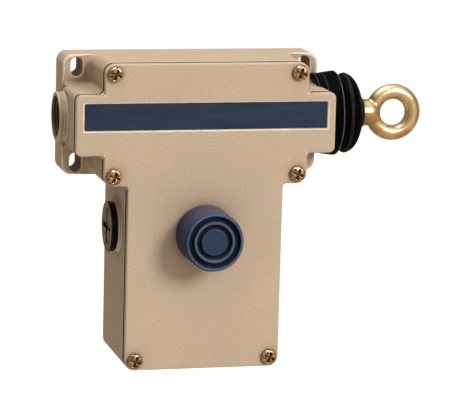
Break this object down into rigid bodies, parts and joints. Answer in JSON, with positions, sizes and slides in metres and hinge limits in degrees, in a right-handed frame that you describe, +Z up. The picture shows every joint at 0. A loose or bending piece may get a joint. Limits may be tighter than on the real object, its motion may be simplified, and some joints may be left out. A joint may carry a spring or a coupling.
{
  "type": "rope pull switch",
  "caption": "T-shaped cast rope pull switch with an eyebolt on a sprung rod, a rubber bellows, a booted reset button and slotted mounting ears.",
  "frame": {"origin": "on the mounting plane at the back of the box, on the rope's line and at the middle of the box's width", "axes": "+X along the rope, out of the eye; +Y into the wall that the box is screwed to; +Z up"},
  "size_m": [0.1872, 0.0755, 0.152],
  "materials": {
    "painted_casting": "satin",
    "label_blue": "satin",
    "dark_rubber": "matte",
    "black_rubber": "satin",
    "blue_rubber": "matte",
    "blue_plastic": "matte",
    "black_plastic": "satin",
    "red_plastic": "matte",
    "yellow_zinc": "satin",
    "zinc_steel": "satin",
    "bright_steel": "polished",
    "spring_steel": "satin",
    "bronze": "satin",
    "cast_alloy": "satin"
  },
  "bodies": {
    "box": {"housing": "painted_casting", "cover": "painted_casting", "cover_gasket": "dark_rubber", "cover_screws": "yellow_zinc", "label_strip": "label_blue", "blanking_plug": "black_plastic", "plug_seal": "dark_rubber", "bellows": "black_rubber", "bellows_clamp": "zinc_steel", "right_guide_bush": "bronze", "left_guide_bush": "bronze", "shaft_seal": "dark_rubber", "mechanism_bracket": "zinc_steel", "bracket_screws": "zinc_steel", "main_spring": "spring_steel", "contact_block_a": "black_plastic", "contact_block_b": "black_plastic", "contact_block_screws": "zinc_steel", "terminal_screws": "bronze", "terminal_clamps": "bronze", "contact_springs": "spring_steel", "reset_barrel": "zinc_steel", "reset_seal": "dark_rubber", "reset_nut": "zinc_steel", "reset_spring": "spring_steel", "latch_pin": "bright_steel", "latch_spring": "spring_steel", "earth_screw": "bronze", "earth_clamp": "bronze"},
    "pull_rod": {"pull_shaft": "bright_steel", "eyebolt": "yellow_zinc", "eyebolt_lock_nut": "yellow_zinc", "spring_collar": "zinc_steel", "collar_pin": "bright_steel", "cam_slide": "cast_alloy", "cam_pin": "bright_steel"},
    "contact_a": {"contact_plunger_a": "red_plastic", "contact_bridge_a": "bronze"},
    "contact_b": {"contact_plunger_b": "red_plastic", "contact_bridge_b": "bronze"},
    "reset_button": {"reset_plunger": "blue_plastic", "reset_boot": "blue_rubber"},
    "latch": {"latch_lever": "zinc_steel"}
  },
  "joints": [
    {"name": "rope_pull", "type": "slide", "parent": "box", "child": "pull_rod", "axis": [1, 0, 0], "range_m": [0, 0.012], "stiffness_N_per_m": 6000, "springref_m": -0.008, "deforming": ["main_spring", "bellows"]},
    {"name": "contact_a_press", "type": "slide", "parent": "box", "child": "contact_a", "axis": [0, 0, -1], "range_m": [0, 0.0036], "deforming": ["contact_springs"]},
    {"name": "contact_b_release", "type": "slide", "parent": "box", "child": "contact_b", "axis": [0, 0, -1], "range_m": [-0.0036, 0]},
    {"name": "reset_press", "type": "slide", "parent": "box", "child": "reset_button", "axis": [0, 1, 0], "range_m": [0, 0.004], "stiffness_N_per_m": 1500, "springref_m": -0.003, "deforming": ["reset_spring", "reset_boot"]},
    {"name": "latch_turn", "type": "hinge", "parent": "box", "child": "latch", "pos_m": [0, -0.0105, -0.02], "axis": [1, 0, 0], "range_deg": [0, 6.8], "deforming": ["latch_spring"]}
  ],
  "couplings": [
    {"joint": "contact_a_press", "follows": "rope_pull", "ratio": 0.3},
    {"joint": "contact_b_release", "follows": "rope_pull", "ratio": -0.3},
    {"joint": "latch_turn", "follows": "reset_press", "rad_per_m": 29}
  ]
}
